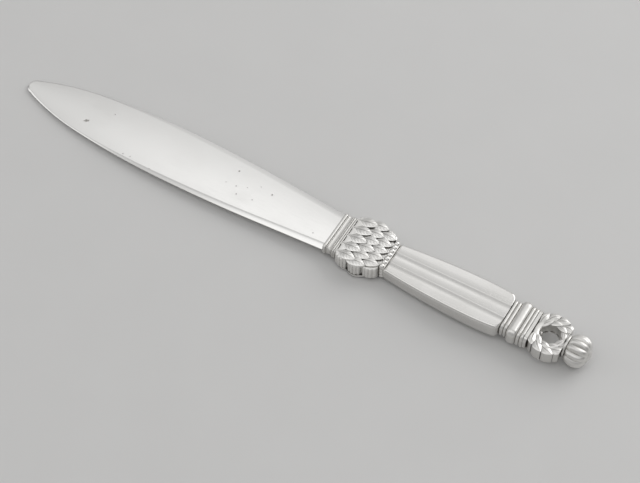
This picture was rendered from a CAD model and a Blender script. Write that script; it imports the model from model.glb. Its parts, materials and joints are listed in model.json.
import bpy
import bmesh
import json
import math
from mathutils import Matrix, Vector


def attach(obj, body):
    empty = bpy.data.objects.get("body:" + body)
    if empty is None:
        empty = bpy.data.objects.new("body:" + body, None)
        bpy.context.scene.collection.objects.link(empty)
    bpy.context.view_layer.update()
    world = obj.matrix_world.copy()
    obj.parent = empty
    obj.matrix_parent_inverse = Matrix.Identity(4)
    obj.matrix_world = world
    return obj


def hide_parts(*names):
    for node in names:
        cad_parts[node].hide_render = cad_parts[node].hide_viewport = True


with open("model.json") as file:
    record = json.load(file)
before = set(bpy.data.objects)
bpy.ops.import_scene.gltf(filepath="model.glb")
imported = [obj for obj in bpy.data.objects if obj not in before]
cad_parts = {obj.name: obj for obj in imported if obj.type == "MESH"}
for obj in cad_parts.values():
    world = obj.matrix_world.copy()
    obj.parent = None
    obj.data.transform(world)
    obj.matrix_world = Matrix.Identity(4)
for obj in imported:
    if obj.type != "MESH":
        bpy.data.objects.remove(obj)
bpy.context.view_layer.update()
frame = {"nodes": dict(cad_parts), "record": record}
nodes = frame["nodes"]
print("frame loaded:", len(nodes), "nodes")

# the opener lies tilted: stations run from the blade's tip, in millimetres
lying = {"tilt": 1.23008095, "tipX": -105.0257913, "tipZ": 0.7788068, "scale": 0.001}
lay = (Matrix.Scale(lying["scale"], 4) @ Matrix.Translation((lying["tipX"], 0.0, lying["tipZ"]))
       @ Matrix.Rotation(math.radians(-lying["tilt"]), 4, "Y"))

# weld distances in millimetres, and the angle in degrees where smooth shading breaks
meshSet = {"weld": 0.0005, "degenerate": 0.0002, "sharp": 42.0}


def mix(first, second, share):
    return first + (second - first) * share


def smooth(low, high, value):
    t = min(1.0, max(0.0, (value - low) / (high - low)))
    return t * t * (3.0 - 2.0 * t)


# camera, on the photograph's side of the blade
cameraSet = {"elevation": 55.9965, "azimuth": 29.1227, "roll": 2.0108, "distance": 0.53966,
             "target": (0.0126121, -0.0051177, 0.003), "focalPixels": 1700.0, "imageWidth": 640.0,
             "sensor": 36.0, "clipStart": 0.01}


def makeCamera(s):
    e, a, r = (math.radians(s[k]) for k in ("elevation", "azimuth", "roll"))
    back = Vector((math.sin(a) * math.cos(e), -math.cos(a) * math.cos(e), math.sin(e)))
    right = Vector((math.cos(a), math.sin(a), 0.0))
    up = back.cross(right)
    turnedRight = right * math.cos(r) + up * math.sin(r)
    turnedUp = up * math.cos(r) - right * math.sin(r)
    data = bpy.data.cameras.new("camera")
    data.sensor_width = s["sensor"]
    data.lens = s["focalPixels"] * s["sensor"] / s["imageWidth"]
    data.clip_start = s["clipStart"]
    camera = bpy.data.objects.new("camera", data)
    bpy.context.scene.collection.objects.link(camera)
    place = Matrix((turnedRight, turnedUp, back)).transposed().to_4x4()
    place.translation = Vector(s["target"]) + back * s["distance"]
    camera.matrix_world = place
    bpy.context.scene.camera = camera


makeCamera(cameraSet)
print("camera placed")


# small helpers for node trees
def addNode(tree, kind, **settings):
    node = tree.nodes.new(kind)
    for key, value in settings.items():
        setattr(node, key, value)
    return node


def join(tree, source, target):
    tree.links.new(source, target)


# a number, a colour or a link goes into a socket
def feed(tree, socket, value):
    if isinstance(value, (int, float)):
        socket.default_value = value
    elif isinstance(value, tuple):
        socket.default_value = value + (1.0,)
    else:
        join(tree, value, socket)


def calc(tree, operation, *values, clamp=False):
    node = addNode(tree, "ShaderNodeMath", operation=operation, use_clamp=clamp)
    for socket, value in zip(node.inputs, values):
        feed(tree, socket, value)
    return node.outputs[0]


def ramp(tree, value, low, high):
    node = addNode(tree, "ShaderNodeMapRange", interpolation_type="SMOOTHSTEP", clamp=True)
    for label, given in (("Value", value), ("From Min", low), ("From Max", high)):
        feed(tree, node.inputs[label], given)
    return node.outputs["Result"]


def blendColour(tree, mask, first, second):
    node = addNode(tree, "ShaderNodeMix", data_type="RGBA")
    join(tree, mask, node.inputs["Factor"])
    for socket, value in zip([x for x in node.inputs if x.type == "RGBA"], (first, second)):
        feed(tree, socket, value)
    return [x for x in node.outputs if x.type == "RGBA"][0]


def objectPlace(tree):
    return addNode(tree, "ShaderNodeTexCoord").outputs["Object"]


# noise by its scale along each axis, its turn in radians and its detail
noiseSet = {"Scale": 1.0, "Roughness": 0.55}


def stretchedNoise(tree, place, scale, turn, detail):
    mapping = addNode(tree, "ShaderNodeMapping")
    mapping.inputs["Scale"].default_value = scale
    mapping.inputs["Rotation"].default_value = turn
    join(tree, place, mapping.inputs["Vector"])
    noise = addNode(tree, "ShaderNodeTexNoise")
    for label, value in {**noiseSet, "Detail": detail}.items():
        noise.inputs[label].default_value = value
    join(tree, mapping.outputs["Vector"], noise.inputs["Vector"])
    return noise.outputs["Fac"]


def newGroup(name, inputs, outputs):
    group = bpy.data.node_groups.new(name, "ShaderNodeTree")
    for way, labels in (("INPUT", inputs), ("OUTPUT", outputs)):
        for label in labels:
            group.interface.new_socket(label, in_out=way, socket_type="NodeSocketFloat")
    return group, addNode(group, "NodeGroupInput"), addNode(group, "NodeGroupOutput")


# hand polish: scratches three ways and cloudy patches, by scale, turn, detail, low and high
polishSet = {"long": ((90, 5200, 5200), 0.06, 3.0, 0.56, 0.74),
             "crossed": ((4200, 260, 4200), 0.5, 3.0, 0.62, 0.78),
             "arcs": ((300, 3600, 3600), -0.7, 3.0, 0.64, 0.78),
             "patches": ((55, 110, 110), 0.4, 4.0, 0.35, 0.70)}


def makePolishGroup(s):
    group, given, out = newGroup("handPolish", ["Scratch"], ["Lines", "Patches"])
    place = objectPlace(group)

    def marks(kind):
        scale, turn, detail, low, high = s[kind]
        return ramp(group, stretchedNoise(group, place, scale, (0, 0, turn), detail), low, high)

    crossing = calc(group, "MAXIMUM", marks("crossed"), marks("arcs"))
    lines = calc(group, "MAXIMUM", marks("long"), crossing)
    join(group, calc(group, "MULTIPLY", lines, given.outputs["Scratch"]), out.inputs["Lines"])
    join(group, marks("patches"), out.inputs["Patches"])
    return group


# tarnish: dark film that stays where a cloth does not reach
tarnishSet = {"gain": 2.4, "grainNoise": ((900, 900, 900), (0.3, 0.2, 0.1), 4.0),
              "grainShare": 0.35}


def makeTarnishGroup(s):
    group, given, out = newGroup("tarnish", ["Openness", "Reach"], ["Mask"])
    grain = stretchedNoise(group, objectPlace(group), *s["grainNoise"])
    uneven = calc(group, "MULTIPLY", calc(group, "SUBTRACT", grain, 0.5), s["grainShare"])
    hidden = calc(group, "SUBTRACT", given.outputs["Reach"], given.outputs["Openness"])
    mask = calc(group, "MULTIPLY_ADD", hidden, s["gain"], uneven, clamp=True)
    join(group, mask, out.inputs["Mask"])
    return group


# pits: scattered pin-pricks, most of them tiny
pitSet = {"leastSize": 0.35}


def makePitGroup(s):
    group, given, out = newGroup("pinPits", ["Scale", "Size", "Share"], ["Mask"])
    cells = addNode(group, "ShaderNodeTexVoronoi", feature="F1")
    join(group, objectPlace(group), cells.inputs["Vector"])
    join(group, given.outputs["Scale"], cells.inputs["Scale"])
    pick = addNode(group, "ShaderNodeSeparateColor")
    join(group, cells.outputs["Color"], pick.inputs["Color"])
    chosen = calc(group, "LESS_THAN", pick.outputs["Red"], given.outputs["Share"])
    size = calc(group, "MULTIPLY", given.outputs["Size"],
                calc(group, "ADD", pick.outputs["Green"], s["leastSize"]))
    outward = calc(group, "DIVIDE", cells.outputs["Distance"], size)
    inside = calc(group, "SUBTRACT", 1.0, outward, clamp=True)
    join(group, calc(group, "MULTIPLY", chosen, inside), out.inputs["Mask"])
    return group


polishGroup = makePolishGroup(polishSet)
tarnishGroup = makeTarnishGroup(tarnishSet)
pitGroup = makePitGroup(pitSet)
print("effects made:", ", ".join(g.name for g in (polishGroup, tarnishGroup, pitGroup)))


def useGroup(tree, group, **values):
    node = addNode(tree, "ShaderNodeGroup", node_tree=group)
    for label, value in values.items():
        feed(tree, node.inputs[label], value)
    return node


def startMaterial(name):
    material = bpy.data.materials.new(name)
    material.use_nodes = True
    tree = material.node_tree
    return material, tree, tree.nodes["Principled BSDF"]


def roughFrom(tree, shader, base, terms):
    total = base
    for value, weight in terms:
        total = calc(tree, "MULTIPLY_ADD", value, weight, total)
    join(tree, total, shader.inputs["Roughness"])


def addBump(tree, shader, height, bump):
    node = addNode(tree, "ShaderNodeBump")
    for label, value in zip(("Strength", "Distance", "Height"), (*bump, height)):
        feed(tree, node.inputs[label], value)
    join(tree, node.outputs["Normal"], shader.inputs["Normal"])


# blade finish: bright satin polish with a few old pits and stains, by station, side and size
bladeFinish = {"bright": (0.925, 0.918, 0.900), "cloudy": (0.880, 0.872, 0.852),
               "pit": (0.30, 0.285, 0.26), "roughness": 0.17, "lineRough": 0.06,
               "cloudRough": 0.05, "pitRough": 0.35, "scratch": 0.9, "patchShare": 0.35,
               "lineDepth": 0.06, "bump": (0.5, 0.0001),
               "pits": ((25.9, -3.4, 0.88), (26.5, -3.1, 0.62), (25.4, -3.8, 0.40),
                        (32.8, 3.6, 0.32), (81.1, 4.8, 0.52), (83.5, -0.9, 0.34),
                        (85.2, -3.6, 0.36), (79.8, -1.2, 0.26), (90.9, -3.0, 0.30),
                        (90.7, 2.9, 0.28), (95.4, 2.0, 0.52), (87.0, 0.4, 0.22),
                        (44.3, -8.6, 0.34), (47.0, -8.4, 0.28), (55.1, -9.3, 0.30),
                        (114.4, -4.1, 0.28)),
               "stains": ((28.0, 2.0, 7.0), (86.0, 0.0, 8.0)), "stainReach": 1.6,
               "core": 0.0002, "rim": 0.0011, "ragged": 0.0004, "raggedScale": 2600.0,
               "pinPits": {"Scale": 260.0, "Size": 0.035, "Share": 0.12}, "pinShade": 0.8}


def makeBladeMaterial(s):
    material, tree, shader = startMaterial("bladePolish")
    place = objectPlace(tree)
    polish = useGroup(tree, polishGroup, Scratch=s["scratch"])
    wobble = addNode(tree, "ShaderNodeTexNoise")
    wobble.inputs["Scale"].default_value = s["raggedScale"]
    join(tree, place, wobble.inputs["Vector"])
    level = addNode(tree, "ShaderNodeVectorMath", operation="MULTIPLY")
    join(tree, place, level.inputs[0])
    level.inputs[1].default_value = (1.0, 1.0, 0.0)

    def spots(marks, reach):  # core, rim and ragged are in metres for a mark of size 1
        total = None
        for station, side, size in marks:
            spot = lay @ Vector((station, side, 0.0))
            away = addNode(tree, "ShaderNodeVectorMath", operation="DISTANCE")
            join(tree, level.outputs["Vector"], away.inputs[0])
            away.inputs[1].default_value = (spot.x, spot.y, 0.0)
            ragged = calc(tree, "MULTIPLY_ADD", wobble.outputs["Fac"], s["ragged"] * size,
                          away.outputs["Value"])
            one = ramp(tree, ragged, s["rim"] * size * reach, s["core"] * size * reach)
            total = one if total is None else calc(tree, "MAXIMUM", total, one)
        return total

    upper = addNode(tree, "ShaderNodeSeparateXYZ")
    join(tree, addNode(tree, "ShaderNodeNewGeometry").outputs["Normal"], upper.inputs[0])
    faceUp = calc(tree, "GREATER_THAN", upper.outputs["Z"], 0.0)
    fine = useGroup(tree, pitGroup, **s["pinPits"])
    pits = calc(tree, "MAXIMUM", calc(tree, "MULTIPLY", spots(s["pits"], 1.0), faceUp),
                calc(tree, "MULTIPLY", fine.outputs["Mask"], s["pinShade"], clamp=True))
    stain = calc(tree, "MULTIPLY", spots(s["stains"], s["stainReach"]), polish.outputs["Patches"])
    patches = calc(tree, "MULTIPLY", polish.outputs["Patches"], s["patchShare"])
    cloudy = calc(tree, "MAXIMUM", patches, stain)
    face = blendColour(tree, cloudy, s["bright"], s["cloudy"])
    join(tree, blendColour(tree, pits, face, s["pit"]), shader.inputs["Base Color"])
    shader.inputs["Metallic"].default_value = 1.0
    roughFrom(tree, shader, s["roughness"], ((polish.outputs["Lines"], s["lineRough"]),
                                             (cloudy, s["cloudRough"]), (pits, s["pitRough"])))
    cut = calc(tree, "MULTIPLY", polish.outputs["Lines"], -s["lineDepth"])
    addBump(tree, shader, calc(tree, "SUBTRACT", cut, pits), s["bump"])
    return material


# silver finishes: what they share, then the handle, rings, beads, end ornament and bolster
silverSet = {"patchShare": 0.6, "lineRough": 0.06, "filmRough": 0.30, "openSamples": 12,
             "pinPits": {"Scale": 420.0, "Size": 0.05, "Share": 0.10}, "pinShade": 0.7,
             "grainNoise": ((1500, 1500, 1500), (0.4, 0.1, 0.2), 3.0), "fineDepth": 0.1,
             "bump": (0.35, 0.0001)}
handleFinish = {"name": "handleSilver", "bright": (0.805, 0.794, 0.774),
                "cloudy": (0.750, 0.738, 0.712), "film": (0.10, 0.092, 0.080),
                "roughness": 0.19, "satin": 0.05, "scratch": 0.8, "reach": 0.62,
                "nearby": 0.0011, "grain": 0.15, "carved": 0.0}
ringFinish = {"name": "ringSilver", "bright": (0.775, 0.764, 0.740),
              "cloudy": (0.700, 0.688, 0.662), "film": (0.270, 0.255, 0.232),
              "roughness": 0.33, "satin": 0.06, "scratch": 0.7, "reach": 0.70,
              "nearby": 0.0011, "grain": 0.25, "carved": 0.0}
beadFinish = {"name": "beadSilver", "bright": (0.900, 0.888, 0.864),
              "cloudy": (0.840, 0.827, 0.800), "film": (0.300, 0.285, 0.260),
              "roughness": 0.26, "satin": 0.06, "scratch": 0.5, "reach": 0.60,
              "nearby": 0.0008, "grain": 0.25, "carved": 0.0}
finialFinish = {"name": "finialSilver", "bright": (0.790, 0.779, 0.755),
                "cloudy": (0.700, 0.688, 0.662), "film": (0.080, 0.074, 0.066),
                "roughness": 0.35, "satin": 0.07, "scratch": 0.5, "reach": 0.80,
                "nearby": 0.0012, "grain": 0.28, "carved": 0.65}
castFinish = {"name": "castSilver", "bright": (0.925, 0.914, 0.890),
              "cloudy": (0.855, 0.842, 0.812), "film": (0.090, 0.083, 0.073),
              "roughness": 0.25, "satin": 0.07, "scratch": 0.5, "reach": 0.80,
              "nearby": 0.0012, "grain": 0.28, "carved": 0.65}


def makeSilverMaterial(own):
    s = {**silverSet, **own}
    material, tree, shader = startMaterial(s["name"])
    polish = useGroup(tree, polishGroup, Scratch=s["scratch"])
    nearby = addNode(tree, "ShaderNodeAmbientOcclusion", samples=s["openSamples"])
    nearby.inputs["Distance"].default_value = s["nearby"]  # film gathers beside other metal
    film = useGroup(tree, tarnishGroup, Openness=nearby.outputs["AO"], Reach=s["reach"])
    pits = useGroup(tree, pitGroup, **s["pinPits"])
    cloudy = calc(tree, "MULTIPLY", polish.outputs["Patches"], s["patchShare"])
    face = blendColour(tree, cloudy, s["bright"], s["cloudy"])
    pinShade = calc(tree, "MULTIPLY", pits.outputs["Mask"], s["pinShade"])
    dull = calc(tree, "MAXIMUM", film.outputs["Mask"], pinShade)
    if s["carved"]:  # film left in the cut lines of the leaves
        lines = addNode(tree, "ShaderNodeAttribute", attribute_name="groove")
        carved = calc(tree, "MULTIPLY", lines.outputs["Fac"], s["carved"])
        dull = calc(tree, "MAXIMUM", dull, carved)
    join(tree, blendColour(tree, dull, face, s["film"]), shader.inputs["Base Color"])
    shader.inputs["Metallic"].default_value = 1.0
    roughFrom(tree, shader, s["roughness"],
              ((polish.outputs["Lines"], s["lineRough"]),
               (polish.outputs["Patches"], s["satin"]), (dull, s["filmRough"])))
    grain = stretchedNoise(tree, objectPlace(tree), *s["grainNoise"])
    fine = calc(tree, "MAXIMUM", polish.outputs["Lines"], pits.outputs["Mask"])
    height = calc(tree, "SUBTRACT", calc(tree, "MULTIPLY", grain, s["grain"]),
                  calc(tree, "MULTIPLY", fine, s["fineDepth"]))
    addBump(tree, shader, height, s["bump"])
    return material


# cement core, only seen with the handle taken apart
cementFinish = {"pale": (0.52, 0.49, 0.43), "dark": (0.30, 0.27, 0.23), "paleFrom": 0.35,
                "paleTo": 0.65, "roughness": 0.82, "sandRough": 0.15,
                "sandNoise": ((1800, 1800, 1800), (0.1, 0.3, 0.2), 5.0), "bump": (0.6, 0.0002)}


def makeCementMaterial(s):
    material, tree, shader = startMaterial("cementCore")
    sand = stretchedNoise(tree, objectPlace(tree), *s["sandNoise"])
    share = ramp(tree, sand, s["paleFrom"], s["paleTo"])
    join(tree, blendColour(tree, share, s["dark"], s["pale"]), shader.inputs["Base Color"])
    roughFrom(tree, shader, s["roughness"], ((sand, s["sandRough"]),))
    addBump(tree, shader, sand, s["bump"])
    return material


bladePolish = makeBladeMaterial(bladeFinish)
handleSilver = makeSilverMaterial(handleFinish)
ringSilver = makeSilverMaterial(ringFinish)
beadSilver = makeSilverMaterial(beadFinish)
finialSilver = makeSilverMaterial(finialFinish)
castSilver = makeSilverMaterial(castFinish)
cementCore = makeCementMaterial(cementFinish)
slotFinish = {"blade_steel": bladePolish, "silver": handleSilver, "silver_cast": castSilver,
              "cement": cementCore}
finishes = (*slotFinish.values(), ringSilver, beadSilver, finialSilver)
print("finishes made:", ", ".join(m.name for m in finishes))

for part in frame["record"]["subparts"]:
    name = part["node"]
    finish = slotFinish[part["material_slot"]]
    if name.startswith(("collar", "ferrule", "finial", "knob_collar")):
        finish = ringSilver
    elif name.startswith(("wreath", "binding", "knob")):
        finish = finialSilver
    nodes[name].data.materials.clear()
    nodes[name].data.materials.append(finish)
print("finishes set on the CAD nodes")


def allOf(bm):
    return bm.verts[:] + bm.edges[:] + bm.faces[:]


def openEdges(verts):
    edges = dict.fromkeys(e for v in verts for e in v.link_edges)  # in a fixed order
    return [e for e in edges if e.is_boundary]


# a sculpted piece goes from millimetres on the opener to metres in the frame
def finishPiece(bm, name, slot, replaced, finish=None):
    bmesh.ops.remove_doubles(bm, verts=bm.verts[:], dist=meshSet["weld"])
    bmesh.ops.dissolve_degenerate(bm, dist=meshSet["degenerate"], edges=bm.edges[:])
    bmesh.ops.recalc_face_normals(bm, faces=bm.faces[:])
    bmesh.ops.transform(bm, matrix=lay, verts=bm.verts[:])
    sharp = math.radians(meshSet["sharp"])
    for face in bm.faces:
        face.smooth = True
    for edge in bm.edges:
        edge.smooth = len(edge.link_faces) == 2 and edge.calc_face_angle(0.0) < sharp
    mesh = bpy.data.meshes.new(name)
    bm.to_mesh(mesh)
    bm.free()
    mesh.materials.append(finish or slotFinish[slot])
    piece = bpy.data.objects.new(name, mesh)
    bpy.context.scene.collection.objects.link(piece)
    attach(piece, "root")
    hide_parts(*replaced)
    print("piece made:", name, len(mesh.polygons), "faces")


# a skirt from a patch's rim down to a level; its lower edges come back
def dropSkirt(bm, verts, level):
    new = bmesh.ops.extrude_edge_only(bm, edges=openEdges(verts))["geom"]
    for x in new:
        if isinstance(x, bmesh.types.BMVert):
            x.co.z = level
    return [x for x in new if isinstance(x, bmesh.types.BMEdge) and x.is_boundary]


# the same shape turned to the other face of the opener
def turnOver(bm):
    turn = Matrix.Rotation(math.pi, 3, "X")
    bmesh.ops.rotate(bm, cent=(0, 0, 0), matrix=turn, verts=bm.verts[:])


# a flat grid of one by one about the origin, to be shaped
def unitGrid(bm, cuts, rows):
    return bmesh.ops.create_grid(bm, x_segments=cuts, y_segments=rows, size=0.5)["verts"]


# blade: a crowned face that rolls off to a thin edge all round
bladeSet = {"length": 119.8, "width": 21.1, "widest": 58.0, "noseRadius": 2.8, "noseHeading": 22.0,
            "foreHeading": 7.2, "straight": 25.0, "shoulder": 15.2, "thick": 1.9, "thin": 0.8,
            "taperLead": 1.0, "edge": 0.3, "roll": 2.7, "rollPowers": (1.12, 1.5),
            "rollOpens": (20.0, 65.0), "crown": 0.030, "noseBlend": (0.6, 4.0),
            "noseCrowding": 1.8, "probe": 0.05, "alongCuts": 220, "acrossCuts": 72,
            "tang": (47.0, 7.0, 1.5)}


# half width at a station: nose, fore and belly arcs, a tail arc and a straight to the shoulder
def bladeOutline(s):
    out, inner = math.radians(s["noseHeading"]), math.radians(s["foreHeading"])
    half, r = s["width"] / 2, s["noseRadius"]
    foreLength, foreRise = math.sin(out) - math.sin(inner), math.cos(inner) - math.cos(out)
    bellyRise = 1 - math.cos(inner)
    noseEnd = (r * (1 - math.sin(out)), r * math.cos(out))
    fore = ((s["widest"] - noseEnd[0]) * bellyRise - (half - noseEnd[1]) * math.sin(inner)) / (
        foreLength * bellyRise - foreRise * math.sin(inner))
    foreEnd = (noseEnd[0] + fore * foreLength, noseEnd[1] + fore * foreRise)
    belly = (s["widest"] - foreEnd[0]) / math.sin(inner)
    run = s["length"] - s["straight"] - s["widest"]
    drop = (s["width"] - s["shoulder"]) / 2 / (1 + 2 * s["straight"] / run)
    tail = (run * run + drop * drop) / (2 * drop)

    def halfWidth(x):
        if x <= noseEnd[0]:
            return math.sqrt(max(0.0, r * r - (x - r) ** 2))
        if x <= foreEnd[0]:
            cx, cy = noseEnd[0] + fore * math.sin(out), noseEnd[1] - fore * math.cos(out)
            return cy + math.sqrt(fore * fore - (x - cx) ** 2)
        if x <= s["widest"]:
            return half - belly + math.sqrt(belly * belly - (x - s["widest"]) ** 2)
        if x <= s["length"] - s["straight"]:
            return half - tail + math.sqrt(tail * tail - (x - s["widest"]) ** 2)
        shoulder = s["shoulder"] / 2
        return shoulder + (half - drop - shoulder) * (s["length"] - x) / s["straight"]

    return halfWidth


def makeBlade(s):
    halfWidth = bladeOutline(s)
    bm = bmesh.new()
    face = unitGrid(bm, s["alongCuts"], s["acrossCuts"])
    for v in face:
        x = s["length"] * (v.co.x + 0.5) ** s["noseCrowding"]
        u = math.sin(v.co.y * math.pi)  # closer rows towards the edges
        w = halfWidth(x)
        before, after = max(0.0, x - s["probe"]), x + s["probe"]
        rise = (halfWidth(after) - halfWidth(before)) / (after - before)
        y = u * w
        fromSide = (w - abs(y)) / math.sqrt(1 + rise * rise)
        fromNose = max(0.0, s["noseRadius"] - math.hypot(x - s["noseRadius"], y))
        inside = mix(fromNose, fromSide, smooth(*s["noseBlend"], x))
        share = (x + s["taperLead"]) / (s["length"] + s["taperLead"])
        top = mix(s["thin"], s["thick"], share) / 2
        flat = top - s["crown"] * w * u * u
        low = s["edge"] / 2
        full = smooth(*s["rollOpens"], x)  # a narrow bevel at the nose opens to a wide roll
        reach = s["roll"] * (top - low - s["crown"] * w * (1 - full))
        gone = max(0.0, 1.0 - inside / reach)
        v.co = (x, y, low + (flat - low) * (1 - gone ** mix(*s["rollPowers"], full)))
    bmesh.ops.remove_doubles(bm, verts=face, dist=meshSet["weld"])
    dropSkirt(bm, bm.verts[:], 0.0)
    bmesh.ops.mirror(bm, geom=allOf(bm), axis="Z", merge_dist=meshSet["weld"])
    bar = bmesh.ops.create_cube(bm, size=1.0)["verts"]
    bmesh.ops.scale(bm, vec=s["tang"], verts=bar)
    bmesh.ops.translate(bm, vec=(s["length"] + s["tang"][0] / 2, 0, 0), verts=bar)
    finishPiece(bm, "bladeBody", "blade_steel", ["blade"])


makeBlade(bladeSet)


# a tube from a grid: shares round it and along it give the points, and the seam is welded
def wrapTube(bm, roundCuts, alongCuts, pointAt):
    before = set(bm.verts)
    verts = unitGrid(bm, roundCuts, alongCuts)
    for v in verts:
        v.co = pointAt(v.co.x + 0.5, v.co.y + 0.5)
    bmesh.ops.remove_doubles(bm, verts=verts, dist=meshSet["weld"])
    return openEdges([v for v in bm.verts if v not in before])


# value between the stops of a profile
def between(stops, t):
    for (a, low), (b, high) in zip(stops, stops[1:]):
        if t <= b:
            return low + (high - low) * (t - a) / (b - a)
    return stops[-1][1]


# rounded oblong: the point at a share of the way round, drawn in by an inset
def oblongPoint(share, s, inset):
    r = s["corner"] - inset
    across, upward = s["width"] / 2 - s["corner"], s["thick"] / 2 - s["corner"]
    legs = [2 * upward, math.pi * r / 2, 2 * across, math.pi * r / 2] * 2
    left, index = share % 1.0 * sum(legs), 0
    while left > legs[index]:
        left -= legs[index]
        index += 1
    quarter, onBend = divmod(index, 2)
    far, run = (across, upward) if quarter % 2 == 0 else (upward, across)
    spot = Vector((far + r, left - run))
    if onBend:
        spot = Vector((far + r * math.cos(left / r), run + r * math.sin(left / r)))
    spot.rotate(Matrix.Rotation(quarter * math.pi / 2, 2))
    return spot


# closed oblong tube between two stations, drawn in along its length
def makeTube(s, insetAt):
    bm = bmesh.new()

    def pointAt(share, t):
        y, z = oblongPoint(share, s, insetAt(t))
        return mix(s["start"], s["end"], t), y, z

    bmesh.ops.holes_fill(bm, edges=wrapTube(bm, s["roundCuts"], s["alongCuts"], pointAt))
    return bm


# collar: a hollowed band between the rings, with a fine line along each side
coveSet = {"start": 121.0, "end": 123.2, "width": 15.6, "thick": 3.9, "corner": 1.2,
           "roundCuts": 176, "alongCuts": 44,
           "profile": ((0.0, 0.42), (0.05, 0.20), (0.10, 0.15), (0.15, 0.20), (0.18, 0.34),
                       (0.21, 0.25), (0.30, 0.31), (0.42, 0.38), (0.54, 0.40), (0.66, 0.36),
                       (0.79, 0.25), (0.82, 0.34), (0.85, 0.20), (0.90, 0.15), (0.95, 0.20),
                       (1.0, 0.42))}


def makeCove(s):
    bm = makeTube(s, lambda t: between(s["profile"], t))
    finishPiece(bm, "collarCove", "silver", ["collar_band"], ringSilver)


makeCove(coveSet)

# bolster body: three ribbed lobes down each side
bolsterSet = {"start": 124.6, "length": 14.8, "widths": (18.4, 19.2, 16.8),
              "ends": (15.6, 16.8, 16.2, 13.2), "ribs": 4, "ribDepth": 0.26, "ribPower": 0.7,
              "lobeCuts": 64, "endCuts": 16, "alongCuts": 40,
              "heights": ((0.0, 0.0), (0.06, 0.10), (0.55, 1.75), (0.70, 2.12), (0.84, 2.36),
                          (0.93, 2.46), (1.0, 2.5)),
              "insets": ((0.0, 0.12), (0.06, 0.0), (0.55, 0.0), (0.70, 0.06), (0.84, 0.20),
                         (0.93, 0.36), (1.0, 0.60))}


def makeBolster(s):
    bm = bmesh.new()
    lobe = s["length"] / len(s["widths"])
    onSide, onEnd = s["lobeCuts"] * len(s["widths"]), s["endCuts"]
    total = 2 * (onSide + onEnd)

    def sidePoint(step, inset):
        index = min(int(step // s["lobeCuts"]), len(s["widths"]) - 1)
        q = step / s["lobeCuts"] - index
        low, high = s["ends"][index] / 2, s["ends"][index + 1] / 2
        rise = s["widths"][index] / 2 - (low + high) / 2
        r = (lobe * lobe / 4 + rise * rise) / (2 * rise)
        along = lobe * (q - 0.5)
        out = math.sqrt(r * r - along * along)
        rib = abs(math.sin(math.pi * s["ribs"] * q)) ** s["ribPower"]
        drawn = inset + s["ribDepth"] * (1 - rib)
        return (s["start"] + lobe * (index + q) - drawn * along / r,
                mix(low, high, q) + out - (r - rise) - drawn * out / r)

    def pointAt(share, t):
        step = round(share * total) % total
        height, inset = between(s["heights"], t), between(s["insets"], t)
        if step <= onSide:
            x, y = sidePoint(step, inset)
            return x, -y, height
        if step < onSide + onEnd:
            x, y = sidePoint(onSide, inset)
            return x, y * (2 * (step - onSide) / onEnd - 1), height
        if step <= 2 * onSide + onEnd:
            x, y = sidePoint(2 * onSide + onEnd - step, inset)
            return x, y, height
        x, y = sidePoint(0, inset)
        return x, y * (1 - 2 * (step - 2 * onSide - onEnd) / onEnd), height

    rims = wrapTube(bm, total, s["alongCuts"], pointAt)
    half = s["heights"][-1][1] / 2
    bmesh.ops.edgeloop_fill(bm, edges=[e for e in rims if e.verts[0].co.z > half])
    bmesh.ops.mirror(bm, geom=allOf(bm), axis="Z", merge_dist=meshSet["weld"])
    finishPiece(bm, "bolsterBody", "silver_cast", ["bolster_sleeve"])


makeBolster(bolsterSet)

# bead string: close round beads on a narrow band between the bolster and the handle
beadSet = {"start": 138.9, "end": 141.1, "width": 11.0, "thick": 5.3, "corner": 1.2,
           "roundCuts": 120, "alongCuts": 6, "radius": 0.98, "pitch": 1.62, "across": 7,
           "upright": 2, "sink": 0.36, "sideSink": 0.60, "turnCuts": 24, "downCuts": 14}


def makeBeads(s):
    bm = makeTube(s, lambda t: 0.0)
    spread, stack = ([(i - (count - 1) / 2) * s["pitch"] for i in range(count)]
                     for count in (s["across"], s["upright"]))
    high, wide = s["thick"] / 2 - s["sink"], s["width"] / 2 - s["sideSink"]
    spots = [(side, turn * high) for side in spread for turn in (-1, 1)]
    spots += [(turn * wide, height) for height in stack for turn in (-1, 1)]
    middle = (s["start"] + s["end"]) / 2
    for side, height in spots:
        bmesh.ops.create_uvsphere(bm, u_segments=s["turnCuts"], v_segments=s["downCuts"],
                                  radius=s["radius"],
                                  matrix=Matrix.Translation((middle, side, height)))
    finishPiece(bm, "beadString", "silver_cast", ["bead_row"], beadSilver)


makeBeads(beadSet)

# handle: fluted face with rounded edges, drawn down to the seam and given a wall
handleSet = {"start": 141.0, "end": 181.7, "frontWidth": 11.8, "width": 15.4, "rearWidth": 14.0,
             "foreLength": 30.0, "frontThick": 5.2, "rearThick": 6.3, "corner": 2.2, "edge": 0.95,
             "frontEdge": 0.35, "rearEdge": 0.06, "wall": 1.0, "fluteDepth": 0.28,
             "fluteLimit": 0.48, "frontPitch": 4.2, "rearPitch": 4.9, "outerRise": 0.3,
             "outerRun": 0.6, "probe": 0.02, "alongCuts": 150, "acrossCuts": 130}


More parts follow.
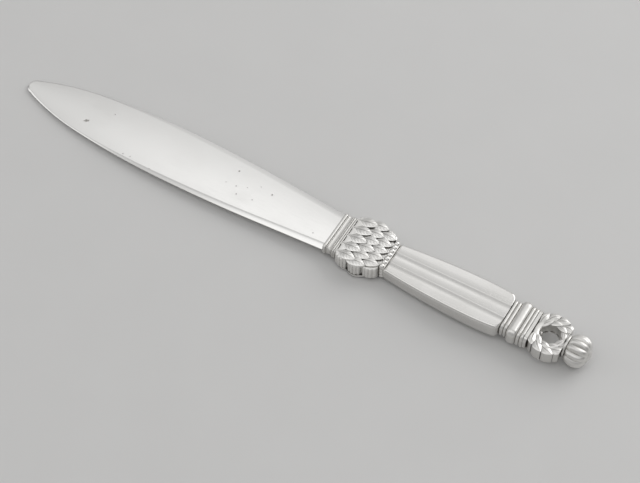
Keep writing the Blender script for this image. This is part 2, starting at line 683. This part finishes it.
def makeHandle(s, name, node, turned):
    length, widest = s["end"] - s["start"], s["start"] + s["foreLength"]
    foreDrop, rearDrop = (s["width"] - s["frontWidth"]) / 2, (s["width"] - s["rearWidth"]) / 2
    rearRun = s["end"] - widest
    foreRadius = (s["foreLength"] ** 2 + foreDrop ** 2) / (2 * foreDrop)
    rearRadius = (rearRun ** 2 + rearDrop ** 2) / (2 * rearDrop)

    def side(x):
        r = foreRadius if x < widest else rearRadius
        return s["width"] / 2 - r + math.sqrt(r * r - (x - widest) ** 2)

    def halfWidth(x):
        turnIn = s["end"] - s["corner"]
        if x <= turnIn:
            return side(x)
        bend = math.sqrt(max(0.0, s["corner"] ** 2 - (x - turnIn) ** 2))
        return side(turnIn) - s["corner"] + bend

    bm = bmesh.new()
    face = unitGrid(bm, s["alongCuts"], s["acrossCuts"])
    for v in face:
        t = v.co.x + 0.5
        x = s["start"] + length * math.sin(math.pi * t / 2)  # closer rows towards the round corners
        w = halfWidth(x)
        y = w * math.sin(math.pi * v.co.y)
        share = (x - s["start"]) / length
        top = mix(s["frontThick"], s["rearThick"], share) / 2
        lane = y / mix(s["frontPitch"], s["rearPitch"], share)
        beyond = max(0.0, abs(lane) - 1.0)  # the outer flutes run out flat to the edges
        off = 0.0 if beyond else min(s["fluteLimit"], abs(lane - round(lane)))
        rising = s["outerRise"] * (beyond / s["outerRun"]) ** 2
        flute = s["fluteDepth"] * (1 - (2 * off) ** 2 - rising)
        after = min(x + s["probe"], s["end"])
        rise = (halfWidth(after) - halfWidth(x - s["probe"])) / (2 * s["probe"])
        fromSide = (w - abs(y)) / math.sqrt(1 + rise * rise)
        ends = ((s["edge"], fromSide), (s["frontEdge"], x - s["start"]),
                (s["rearEdge"], s["end"] - x))
        drop = sum(r - math.sqrt(max(0.0, r * r - max(0.0, r - gap) ** 2)) for r, gap in ends)
        v.co = (x, y, top - flute - min(s["edge"], drop))
    bmesh.ops.remove_doubles(bm, verts=face, dist=meshSet["weld"])
    dropSkirt(bm, bm.verts[:], 0.0)
    bmesh.ops.recalc_face_normals(bm, faces=bm.faces[:])
    if sum(f.normal.z * f.calc_area() for f in bm.faces) < 0:
        bmesh.ops.reverse_faces(bm, faces=bm.faces[:])
    bmesh.ops.solidify(bm, geom=bm.faces[:], thickness=s["wall"])
    for v in bm.verts:
        v.co.z = max(0.0, v.co.z)
    if turned:
        turnOver(bm)
    finishPiece(bm, name, "silver", [node])


makeHandle(handleSet, "handleFront", "handle_shell_front", False)
makeHandle(handleSet, "handleBack", "handle_shell_back", True)

# leaf: a pointed blade with an incised midrib and side veins, by values that all leaves share
leafSet = {"baseShare": 0.40, "broad": 0.48, "tipPower": 1.7, "tipRound": 0.9, "archEnd": 0.6,
           "nodStart": 0.65, "ribWidth": 0.10, "veinSlant": 0.32, "veinPower": 3,
           "droopPower": 1.8, "fadePower": 4, "weld": 0.0008}


def leafPatch(bm, own, place, foot, closed, bend=0.0):
    s = {**leafSet, **own}
    groove = bm.verts.layers.float.get("groove") or bm.verts.layers.float.new("groove")
    before = set(bm.verts)
    unitGrid(bm, s["alongCuts"], s["acrossCuts"])
    verts = [v for v in bm.verts if v not in before]
    for v in verts:
        t, u = v.co.x + 0.5, 2.0 * v.co.y
        side = abs(u)
        base = mix(s["baseShare"], 1, math.sin(min(1.0, t / s["broad"]) * math.pi / 2))
        tip = (1 - max(0.0, (t - s["broad"]) / (1 - s["broad"])) ** s["tipPower"]) ** s["tipRound"]
        half = s["width"] / 2 * base * tip
        arch = mix(s["low"], s["crest"], smooth(0.0, s["archEnd"], t))
        arch -= s["nod"] * smooth(s["nodStart"], 1.0, t)
        fade = 1 - t ** s["fadePower"]
        rib = math.exp(-(side / s["ribWidth"]) ** 2) * fade
        wave = math.sin(2 * math.pi * s["veins"] * (t - s["veinSlant"] * side))
        inside = side * (1 - side) * 4 * fade
        v[groove] = max(rib, s["veinShade"] * max(0.0, -wave) ** s["veinPower"] * inside)
        height = arch - s["rib"] * rib + s["veinDepth"] * wave * inside
        v.co = (s["length"] * t, u * half + bend * 4 * t * (1 - t),
                height - s["droop"] * side ** s["droopPower"] * fade)
    bmesh.ops.remove_doubles(bm, verts=verts, dist=s["weld"])
    rim = dropSkirt(bm, [v for v in bm.verts if v not in before], foot)
    if closed:
        bmesh.ops.edgeloop_fill(bm, edges=rim)
    bmesh.ops.transform(bm, matrix=place, verts=[v for v in bm.verts if v not in before])


# bolster leaves: rows of five, six and five on each face, tips towards the handle
plateSet = {"start": 124.8, "rowStep": 3.7, "counts": (5, 6, 5), "pitches": (3.4, 3.1, 3.0),
            "turnOut": 0.7, "foot": 2.3,
            "leaf": {"length": 7.0, "width": 3.6, "low": 2.60, "crest": 3.47, "nod": 0.20,
                     "rib": 0.12, "veins": 6.0, "veinDepth": 0.035, "veinShade": 0.5,
                     "droop": 0.46, "alongCuts": 42, "acrossCuts": 26}}


def makeLeafPlate(s, name, node, turned):
    bm = bmesh.new()
    for row, (count, pitch) in enumerate(zip(s["counts"], s["pitches"])):
        for index in range(count):
            side = (index - (count - 1) / 2) * pitch
            place = (Matrix.Translation((s["start"] + row * s["rowStep"], side, 0))
                     @ Matrix.Rotation(math.radians(side * s["turnOut"] * (1 - row)), 4, "Z"))
            leafPatch(bm, s["leaf"], place, s["foot"], True)
    if turned:
        turnOver(bm)
    finishPiece(bm, name, "silver_cast", [node])


makeLeafPlate(plateSet, "leavesFront", "leaf_plate_front", False)
makeLeafPlate(plateSet, "leavesBack", "leaf_plate_back", True)

# wreath: two branches, large leaves round the outside and small ones on top along the inside
wreathSet = {"centre": 196.3, "reach": 4.5, "spread": 4.6, "branchWidth": 2.8, "branchHeight": 4.3,
             "branchPower": 0.6, "angles": (16.0, 46.0, 76.0, 106.0, 136.0), "splay": 5.0,
             "offset": 0.1, "bend": 0.5, "innerAngles": (20.0, 56.0, 92.0, 128.0),
             "innerSplay": -20.0, "innerOffset": -0.45, "innerBend": 0.25, "innerFoot": 1.6,
             "front": 191.0, "back": 201.6, "ringCuts": 32, "turnCuts": 72,
             "leaf": {"length": 5.2, "width": 3.0, "low": 2.10, "crest": 2.58, "nod": 0.22,
                      "rib": 0.09, "veins": 4.0, "veinDepth": 0.012, "veinShade": 0.25,
                      "droop": 0.40, "alongCuts": 30, "acrossCuts": 20},
             "innerLeaf": {"length": 4.4, "width": 2.0, "low": 2.05, "crest": 2.52, "nod": 0.14,
                           "rib": 0.07, "veins": 3.0, "veinDepth": 0.008, "veinShade": 0.0,
                           "droop": 0.26, "alongCuts": 24, "acrossCuts": 16}}


def makeWreathHalf(s, name, node, turn):
    bm = bmesh.new()

    def setLeaf(leaf, angle, offset, splay, bend, foot):
        a = math.radians(angle)
        station = s["centre"] - (s["reach"] + offset) * math.cos(a)
        side = turn * (s["spread"] + offset) * math.sin(a)
        along = math.atan2(s["spread"] * math.cos(a), s["reach"] * math.sin(a))
        bearing = turn * (along + math.radians(splay))
        place = Matrix.Translation((station, side, 0)) @ Matrix.Rotation(bearing, 4, "Z")
        leafPatch(bm, leaf, place, foot, foot > 0, turn * bend)

    for angle in s["angles"]:
        setLeaf(s["leaf"], angle, s["offset"], s["splay"], s["bend"], 0.0)
    for angle in s["innerAngles"]:
        setLeaf(s["innerLeaf"], angle, s["innerOffset"], s["innerSplay"], s["innerBend"],
                s["innerFoot"])
    bmesh.ops.mirror(bm, geom=allOf(bm), axis="Z", merge_dist=meshSet["weld"])
    kept = set(bm.verts)
    bmesh.ops.create_circle(bm, segments=s["ringCuts"], radius=1.0, cap_ends=False)
    profile = [v for v in bm.verts if v not in kept]
    middle = (s["reach"] + s["spread"]) / 2
    for v in profile:  # squared oval standing on the ring's plane
        a = math.atan2(v.co.y, v.co.x)
        out, up = (math.copysign(abs(q) ** s["branchPower"], q) for q in (math.cos(a), math.sin(a)))
        v.co = (-1.0 + out * s["branchWidth"] / 2 / middle, 0.0, up * s["branchHeight"] / 2)
    loop = list(dict.fromkeys(e for v in profile for e in v.link_edges))
    bmesh.ops.spin(bm, geom=profile + loop, cent=(0, 0, 0), axis=(0, 0, -turn), angle=math.pi,
                   steps=s["turnCuts"], use_merge=False)
    bar = [v for v in bm.verts if v not in kept]
    bmesh.ops.scale(bm, vec=(s["reach"], s["spread"], 1.0), verts=bar)
    bmesh.ops.translate(bm, vec=(s["centre"], 0, 0), verts=bar)
    bmesh.ops.edgeloop_fill(bm, edges=openEdges(bar))
    trims = (((s["front"], 0, 0), (-1, 0, 0)), ((s["back"], 0, 0), (1, 0, 0)),
             ((0, 0, 0), (0, -turn, 0)))
    for spot, way in trims:
        cut = bmesh.ops.bisect_plane(bm, geom=allOf(bm), plane_co=spot, plane_no=way,
                                     clear_outer=True)
        edges = [x for x in cut["geom_cut"] if isinstance(x, bmesh.types.BMEdge)]
        bmesh.ops.holes_fill(bm, edges=edges)
    finishPiece(bm, name, "silver_cast", [node], finialSilver)


makeWreathHalf(wreathSet, "wreathLeft", "wreath_left", 1)
makeWreathHalf(wreathSet, "wreathRight", "wreath_right", -1)

# knob: a gadrooned ball between its collar and its button
knobSet = {"front": 202.6, "middle": 205.95, "back": 209.3, "radius": 5.2, "neck": 3.5, "end": 2.1,
           "ribs": 12, "groove": 0.70, "groovePower": 0.6, "core": 0.5, "profileCuts": 44,
           "turnCuts": 192}


def makeKnob(s):
    bm = bmesh.new()
    count = s["profileCuts"]
    chain = [bm.verts.new((s["front"], 0, 0))]
    for index in range(count + 1):
        a = math.pi * index / count
        end = s["neck"] if a < math.pi / 2 else s["end"]
        chain.append(bm.verts.new((s["middle"] - (s["middle"] - s["front"]) * math.cos(a), 0,
                                   mix(end, s["radius"], math.sin(a)))))
    chain.append(bm.verts.new((s["back"], 0, 0)))
    edges = [bm.edges.new(pair) for pair in zip(chain, chain[1:])]
    bmesh.ops.spin(bm, geom=chain + edges, cent=(0, 0, 0), axis=(1, 0, 0), angle=2 * math.pi,
                   steps=s["turnCuts"], use_merge=True)
    for v in bm.verts:
        radius = math.hypot(v.co.y, v.co.z)
        if radius < s["core"]:
            continue
        crest = abs(math.cos(math.atan2(v.co.z, v.co.y) * s["ribs"] / 2))
        lift = (radius - s["end"]) / (s["radius"] - s["end"])
        share = 1 - s["groove"] * max(0.0, lift) ** s["groovePower"] * (1 - crest) / s["radius"]
        v.co.y, v.co.z = v.co.y * share, v.co.z * share
    finishPiece(bm, "knobBall", "silver_cast", ["knob"], finialSilver)


makeKnob(knobSet)

# ferrule: soft rounded mouldings, from the handle's end to the end plate
frontRingSet = {"start": 181.7, "end": 184.2, "rings": 2, "width": 12.2, "thick": 5.7,
                "corner": 2.0, "depth": 0.41, "power": 2.6, "roundCuts": 132, "alongCuts": 32}
torusSet = {"start": 184.2, "end": 187.5, "rings": 1, "width": 14.0, "thick": 6.6, "corner": 2.0,
            "depth": 0.80, "power": 2.8, "roundCuts": 132, "alongCuts": 32}
rearRingSet = {"start": 187.5, "end": 190.0, "rings": 2, "width": 13.4, "thick": 6.0, "corner": 2.0,
               "depth": 0.41, "power": 2.6, "roundCuts": 132, "alongCuts": 32}


def makeMoulding(s, name, node):
    def insetAt(t):
        ring = min(math.floor(t * s["rings"]), s["rings"] - 1)
        off = abs(2 * (t * s["rings"] - ring) - 1)  # 0 on a ring's crest, 1 in its grooves
        return s["depth"] * off ** s["power"]

    finishPiece(makeTube(s, insetAt), name, "silver", [node], ringSilver)


makeMoulding(frontRingSet, "ferruleFront", "ferrule_front_rings")
makeMoulding(torusSet, "ferruleTorus", "ferrule_torus")
makeMoulding(rearRingSet, "ferruleRear", "ferrule_rear_rings")

# floor: plain pale board
floorSet = {"size": 4.0, "cuts": 8, "pale": (0.68, 0.676, 0.668), "shade": (0.65, 0.646, 0.638),
            "roughness": 0.7, "toothNoise": ((40, 40, 40), (0, 0, 0.2), 4.0)}


def makeFloor(s):
    bm = bmesh.new()
    bmesh.ops.create_grid(bm, x_segments=s["cuts"], y_segments=s["cuts"], size=s["size"])
    mesh = bpy.data.meshes.new("floor")
    bm.to_mesh(mesh)
    bm.free()
    floor = bpy.data.objects.new("floor", mesh)
    bpy.context.scene.collection.objects.link(floor)
    material, tree, shader = startMaterial("floorBoard")
    tooth = stretchedNoise(tree, objectPlace(tree), *s["toothNoise"])
    join(tree, blendColour(tree, tooth, s["shade"], s["pale"]), shader.inputs["Base Color"])
    shader.inputs["Roughness"].default_value = s["roughness"]
    mesh.materials.append(material)


makeFloor(floorSet)

# studio: two long soft boxes overhead, behind the opener and on the camera's side, and a lamp
studioSet = {"level": 1.22,
             "behind": {"sideways": ((-1.0, 0.0), (0.0, 0.0), (0.06, 0.12), (0.16, 0.24),
                                     (0.25, 0.54), (0.35, 0.95), (0.42, 0.97), (0.49, 0.88),
                                     (0.56, 0.77), (0.64, 0.70), (0.80, 0.64), (1.0, 0.50)),
                        "lengthwise": ((-1.0, 0.45), (-0.50, 0.55), (-0.38, 0.84), (-0.30, 0.95),
                                       (-0.25, 0.84), (0.0, 0.76), (0.45, 0.66), (1.0, 0.20))},
             "cameraSide": {"sideways": ((-1.0, 0.36), (-0.72, 0.34), (-0.50, 0.86),
                                         (-0.28, 0.93), (-0.08, 0.88), (0.06, 0.50),
                                         (0.16, 0.20), (0.25, 0.0), (1.0, 0.0)),
                            "lengthwise": ((-1.0, 0.60), (-0.80, 0.90), (-0.50, 0.82),
                                           (-0.38, 0.90), (-0.30, 1.0), (0.0, 0.92),
                                           (0.50, 0.75), (1.0, 0.25))},
             "lampPower": 5.0, "lampPlace": (0.45, 0.95, 0.62), "lampSize": 1.0}


def makeStudio(s):
    world = bpy.data.worlds.new("studio")
    bpy.context.scene.world = world
    world.use_nodes = True
    tree = world.node_tree
    way = addNode(tree, "ShaderNodeSeparateXYZ")
    join(tree, addNode(tree, "ShaderNodeTexCoord").outputs["Generated"], way.inputs[0])

    def glow(axis, points):  # points run from -1 to 1 along the axis
        node = addNode(tree, "ShaderNodeValToRGB")
        node.color_ramp.interpolation = "EASE"
        elements = node.color_ramp.elements
        while len(elements) < len(points):
            elements.new(0.5)
        for element, (position, value) in zip(elements, points):
            element.position = position * 0.5 + 0.5
            element.color = (value, value, value, 1.0)
        join(tree, calc(tree, "MULTIPLY_ADD", way.outputs[axis], 0.5, 0.5), node.inputs["Fac"])
        return node.outputs["Color"]

    def softBox(box):
        return calc(tree, "MULTIPLY", glow("Y", box["sideways"]), glow("X", box["lengthwise"]))

    sky = tree.nodes["Background"]
    light = calc(tree, "ADD", softBox(s["behind"]), softBox(s["cameraSide"]))
    join(tree, light, sky.inputs["Color"])
    sky.inputs["Strength"].default_value = s["level"]
    lamp = bpy.data.lights.new("keyLamp", "AREA")
    lamp.energy, lamp.size = s["lampPower"], s["lampSize"]
    key = bpy.data.objects.new("keyLamp", lamp)
    bpy.context.scene.collection.objects.link(key)
    key.location = s["lampPlace"]
    key.rotation_euler = (-Vector(s["lampPlace"])).to_track_quat("-Z", "Y").to_euler()


makeStudio(studioSet)
bpy.context.scene.view_settings.view_transform = "Standard"
print("studio lit")
